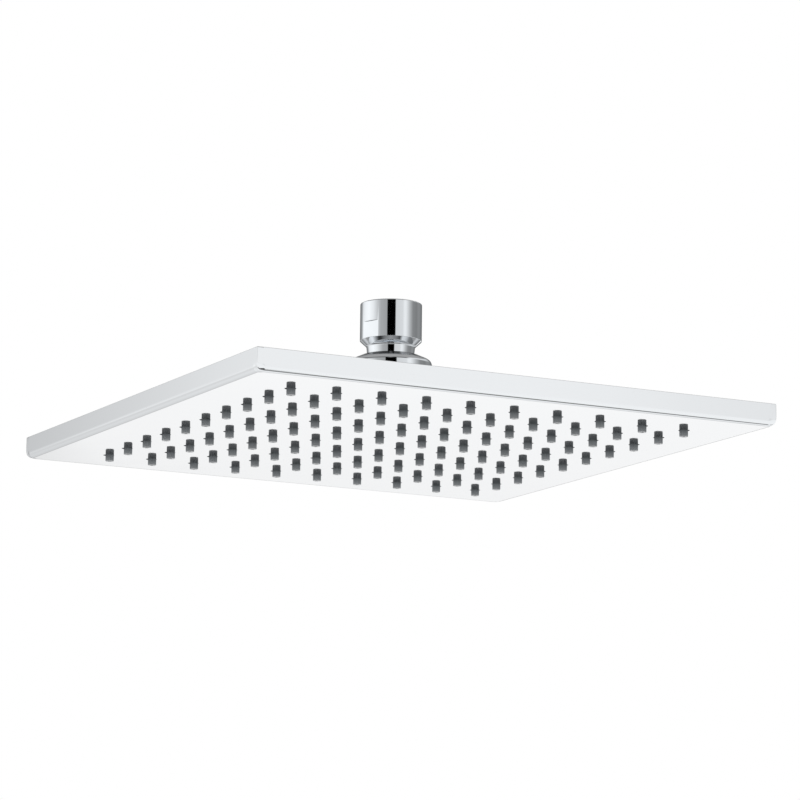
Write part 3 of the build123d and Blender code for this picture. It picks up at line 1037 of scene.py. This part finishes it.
def ball_arc(sphere_radius, first_rise, last_rise, steps):
    """Points of a profile on a sphere round the ball's middle."""
    rises = [first_rise + (last_rise - first_rise) * step / steps for step in range(steps + 1)]
    return [(sqrt(sphere_radius**2 - rise**2), ball_height + rise) for rise in rises]


neck_rise = sqrt(BALL_RADIUS**2 - NECK_FOOT_RADIUS**2)
foot_drop = sqrt(BALL_RADIUS**2 - BALL_FOOT_RADIUS**2)
connector = turn_up(
    "swivel_inlet",
    [
        (MOUTH_RADIUS, 0),
        (INLET_RADIUS, 0),
        (INLET_RADIUS, INLET_FOOT),
        NECK_TOP,
        *ball_arc(BALL_RADIUS, neck_rise, GROOVE_RISE, BALL_STEPS),
        (GROOVE_RADIUS, ball_height + GROOVE_RISE),
        (GROOVE_RADIUS, ball_height - GROOVE_RISE),
        *ball_arc(BALL_RADIUS, -GROOVE_RISE, -foot_drop, BALL_STEPS),
        (WATERWAY_RADIUS, ball_height - foot_drop),
        (WATERWAY_RADIUS, REGULATOR_POCKET[1]),
        REGULATOR_POCKET,
        (REGULATOR_POCKET[0], WASHER_POCKET[1]),
        WASHER_POCKET,
        (WASHER_POCKET[0], THREAD_FOOT),
        (MOUTH_RADIUS, THREAD_FOOT),
    ],
    TURNED_SIDES,
)
round_ring((INLET_RADIUS, 0), MOUTH_ROUNDING, 5)
round_ring((MOUTH_RADIUS, 0), BORE_EASE, 1)
round_ring((INLET_RADIUS, INLET_FOOT), SHOULDER_EASE, 3)
round_ring(NECK_TOP, NECK_FILLET, 6)
bpy.ops.object.mode_set(mode="OBJECT")

# %% Mill the spanner flats
FLATS_TURN = 20
FLATS_DEPTH = 0.7
FLATS_TOP = -9.5
FLATS_EASE = 0.1 * MM

flat_reach = INLET_RADIUS - FLATS_DEPTH
for turn_degrees in (FLATS_TURN, FLATS_TURN + 180):
    angle = radians(turn_degrees)
    out = (flat_reach + INLET_RADIUS) * MM
    cutter = start(
        "milling_cutter",
        bpy.ops.mesh.primitive_cube_add,
        size=1,
        location=(out * cos(angle), out * sin(angle), (FLATS_TOP + INLET_FOOT) / 2 * MM),
        rotation=(0, 0, angle),
        scale=(2 * INLET_RADIUS * MM, 2 * INLET_RADIUS * MM, (FLATS_TOP - INLET_FOOT) * MM),
    )
    bpy.ops.object.mode_set(mode="OBJECT")
    cut_with(connector, cutter)
bpy.ops.object.mode_set(mode="EDIT")


def is_ledge_edge(edge):
    """The outer edge of the ledge above a flat."""
    level = at_level(FLATS_TOP * MM)(edge)
    return level and all(abs(corner.co.xy.length - INLET_RADIUS * MM) < 2 * TOUCH for corner in edge.verts)


print("ledge edges:", pick("EDGE", is_ledge_edge))
bpy.ops.mesh.bevel(offset=FLATS_EASE, segments=1, affect="EDGES", clamp_overlap=True)
bpy.ops.object.mode_set(mode="OBJECT")
smooth(connector, 30, even=True)
hand_over(connector, "inlet", "connector_chrome", connector_chrome, "swivel_connector")

# %% [markdown]
# ## The thread in the inlet
# Half-inch pipe thread winds down inside the inlet. Rings one above the other would look alike from far
# away, but a thread is one helix, so a small triangle is carried round and down by the Screw modifier, and
# its ends are closed.

# %% Cut the thread
THREAD_PITCH = 1.814
THREAD_TURNS = 4
THREAD_SIZE = 0.92
THREAD_START = -1.6
THREAD_STEPS = 64
THREAD_BITE = 0.03
CREST_REACH = 0.05
CREST_ROUNDING = 0.25 * MM

root_radius = MOUTH_RADIUS + THREAD_BITE
crest = root_radius - 1.5 * THREAD_SIZE
thread = start(
    "inlet_thread_ridge",
    bpy.ops.mesh.primitive_circle_add,
    vertices=3,
    radius=THREAD_SIZE * MM,
    location=((root_radius - THREAD_SIZE / 2) * MM, 0, THREAD_START * MM),
    rotation=(radians(90), radians(-90), 0),
)
bpy.ops.object.mode_set(mode="OBJECT")
apply_modifier(
    thread,
    "SCREW",
    axis="Z",
    angle=2 * pi,
    steps=THREAD_STEPS,
    render_steps=THREAD_STEPS,
    iterations=THREAD_TURNS,
    screw_offset=-THREAD_PITCH * MM,
    use_merge_vertices=True,
    merge_threshold=TOUCH / 10,
)
bpy.ops.object.mode_set(mode="EDIT")
bpy.ops.mesh.select_all(action="SELECT")
bpy.ops.mesh.fill_holes(sides=3)
bpy.ops.mesh.normals_make_consistent(inside=False)
pick("EDGE", lambda edge: all(corner.co.xy.length < (crest + CREST_REACH) * MM for corner in edge.verts))
bpy.ops.mesh.bevel(offset=CREST_ROUNDING, segments=2, affect="EDGES", clamp_overlap=False)
bpy.ops.object.mode_set(mode="OBJECT")
smooth(thread, 40)
hand_over(thread, "inlet", "connector_chrome", connector_chrome)

# %% [markdown]
# ## The cap
# The domed cap is screwed over the socket and keeps the ball in it. Its dome could be a sphere, but the
# photograph shows a straight cylinder with a soft shoulder and a shallow slope up to the neck. So it is
# turned like the connector, with an arc for the shoulder and an eased lip round the opening. The whole dome
# lies a little lower than in the CAD model, because the photograph shows more of the neck.

# %% Turn the cap
CAP_RADIUS = 18.7
CAP_INNER_RADIUS = 16.4
CAP_OPENING = 12.9
THROAT_RADIUS = 12.2
THROAT_SPHERE = 14.2
THROAT_STEPS = 4
CEILING_RISE = 5.3
LIP_DROP = 0.6
LIP_ROUNDING = 0.3
CAP_FOOT_ROUNDING = 0.3
CROWN_DROP = 1.9
SHOULDER_INSET = 1.6
SHOULDER_DROP = 4.3
SHOULDER_STEPS = 10

cap_low, cap_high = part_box("retaining_cap")
cap_foot, cap_top = cap_low.z / MM, cap_high.z / MM - LIP_DROP
throat_rise = sqrt(THROAT_SPHERE**2 - THROAT_RADIUS**2)
shoulder_rise = SHOULDER_DROP - CROWN_DROP
shoulder_radius = (SHOULDER_INSET**2 + shoulder_rise**2) / (2 * SHOULDER_INSET)
shoulder_angle = atan(shoulder_rise / (shoulder_radius - SHOULDER_INSET))
shoulder = []
for step in range(SHOULDER_STEPS + 1):
    angle = shoulder_angle * (1 - step / SHOULDER_STEPS)
    shoulder.append(
        (
            CAP_RADIUS - shoulder_radius * (1 - cos(angle)),
            cap_top - SHOULDER_DROP + shoulder_radius * sin(angle),
        )
    )
cap = turn_up(
    "ball_cap",
    [
        *ball_arc(THROAT_SPHERE, CEILING_RISE, throat_rise, THROAT_STEPS),
        (CAP_OPENING, cap_top),
        *shoulder,
        (CAP_RADIUS, cap_foot),
        (CAP_INNER_RADIUS, cap_foot),
        (CAP_INNER_RADIUS, ball_height + CEILING_RISE),
    ],
    TURNED_SIDES,
)
round_ring((CAP_OPENING, cap_top), LIP_ROUNDING, 4)
round_ring((CAP_RADIUS, cap_foot), CAP_FOOT_ROUNDING, 3)
bpy.ops.object.mode_set(mode="OBJECT")
smooth(cap, 30, even=True)
hand_over(cap, "head", "connector_chrome", connector_chrome, "retaining_cap")

# %% [markdown]
# ## The strainer
# A disc of woven wire under the washer keeps grit out of the nozzles. The grid of the solid is enough for
# its size, but cloth of wire goes over and under. So each wire is bent at every crossing, its neighbour bends
# the other way, and each is cut to its own length inside a flat rim. An array of one wire would be quicker, but
# its ends would stick out of the round rim.

# %% Weave the strainer
RIM_INNER = 6.0
RIM_SIDES = 64
WIRE_GAP = 1.0
WIRES_PER_SIDE = 13
WIRE_RADIUS = 0.11
WIRE_SIDES = 6
WIRE_HOLD = 0.2
WIRE_BEND = 0.125

screen_low, screen_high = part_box("filter_screen")
screen_middle = (screen_low.z + screen_high.z) / 2
screen_rim = screen_high.x / MM
strainer = turn_up(
    "woven_strainer",
    [
        (RIM_INNER, screen_low.z / MM),
        (screen_rim, screen_low.z / MM),
        (screen_rim, screen_high.z / MM),
        (RIM_INNER, screen_high.z / MM),
    ],
    RIM_SIDES,
)
bpy.ops.object.mode_set(mode="OBJECT")
last_wire = (WIRES_PER_SIDE - 1) / 2 * WIRE_GAP
wires = []
for across in (False, True):
    for row in range(WIRES_PER_SIDE):
        offset = row * WIRE_GAP - last_wire
        wire_length = 2 * sqrt((RIM_INNER + WIRE_HOLD) ** 2 - offset**2)
        wires.append(
            start(
                "wire",
                bpy.ops.mesh.primitive_cylinder_add,
                vertices=WIRE_SIDES,
                radius=WIRE_RADIUS * MM,
                depth=2 * (last_wire + WIRE_GAP / 2) * MM,
                rotation=(0, radians(90), 0),
            )
        )
        pick("EDGE", lambda edge: abs(edge.verts[0].co.x - edge.verts[1].co.x) > MM)
        bpy.ops.mesh.subdivide(number_cuts=WIRES_PER_SIDE * 2 - 1)
        for crossing in range(WIRES_PER_SIDE):
            spot = (crossing * WIRE_GAP - last_wire) * MM
            way = 1 if (crossing + row + across) % 2 else -1
            pick("EDGE", lambda edge: all(abs(corner.co.x - spot) < TOUCH for corner in edge.verts))
            bpy.ops.transform.translate(value=(0, 0, way * WIRE_BEND * MM))
        for way in (-1, 1):
            bpy.ops.mesh.select_all(action="SELECT")
            bpy.ops.mesh.bisect(
                plane_co=(way * wire_length / 2 * MM, 0, 0),
                plane_no=(way, 0, 0),
                clear_outer=True,
                use_fill=True,
            )
        bpy.ops.mesh.select_all(action="SELECT")
        bpy.ops.transform.translate(value=(0, offset * MM, screen_middle))
        if across:
            bpy.ops.transform.rotate(value=radians(90), orient_axis="Z", center_override=(0, 0, 0))
        bpy.ops.object.mode_set(mode="OBJECT")
join_to(strainer, wires)
smooth(strainer, 40)
hand_over(strainer, "inlet", "screen_steel", screen_steel, "filter_screen")

# %% [markdown]
# ## The pieces that keep the shape of their solids
# The socket below the cap, the seals, the plastic rings, the plate behind the mat and the screws are simple
# turned or moulded forms, and the solids already have their true shape. They only get their finishes.

# %% Dress the other pieces
NODE_FINISHES = (
    (connector_chrome, ["socket_body"]),
    (seal_rubber, ["inlet_washer", "ball_o_ring", "socket_gasket", "chamber_seal", "regulator_ring"]),
    (inner_plastic, ["ball_seat", "cap_liner", "flow_regulator", "backing_plate"]),
    (screen_steel, ["lock_washer", "backing_plate_screws"]),
    (nut_brass, ["lock_nut"]),
)
for finish, names in NODE_FINISHES:
    for name in names:
        for place in nodes[name].material_slots:
            place.material = finish
    print(finish.name, "on", ", ".join(names))
